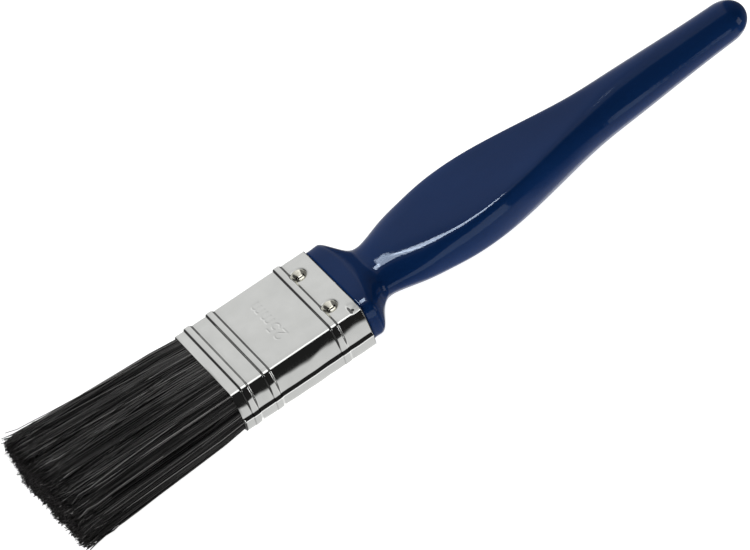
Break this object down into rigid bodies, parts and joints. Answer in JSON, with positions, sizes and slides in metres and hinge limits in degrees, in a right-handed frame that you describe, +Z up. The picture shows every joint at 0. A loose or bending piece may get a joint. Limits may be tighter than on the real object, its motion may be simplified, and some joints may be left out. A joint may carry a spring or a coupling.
{
  "type": "paint brush",
  "caption": "Flat bristle paint brush, 25 mm wide: black filaments, beaded plated ferrule with domed nails, dark blue lacquered wooden beavertail handle.",
  "frame": {"origin": "bottom centre of the whole brush's box, with the brush lying on its back face", "axes": "+X along the brush from the bristle tips to the end of the handle, +Y across its width, +Z up through its thickness to the front face"},
  "size_m": [0.1776, 0.0294, 0.0138],
  "materials": {
    "lacquered_wood": "gloss dark blue lacquer",
    "plated_steel": "bright tin and nickel plate, lightly brushed",
    "nail_plating": "polished, slightly yellow plate",
    "resin": "cured amber resin",
    "bare_wood": "bare sawn wood",
    "bristle": "black tapered filaments, semi-gloss"
  },
  "bodies": {
    "root": {"handle": "lacquered_wood", "ferrule": "plated_steel", "nail_front_left": "nail_plating", "nail_front_right": "nail_plating", "nail_back_left": "nail_plating", "nail_back_right": "nail_plating", "resin_setting": "resin", "spacer_plug": "bare_wood", "filament_bank_front": "bristle", "filament_bank_back": "bristle"}
  },
  "joints": []
}
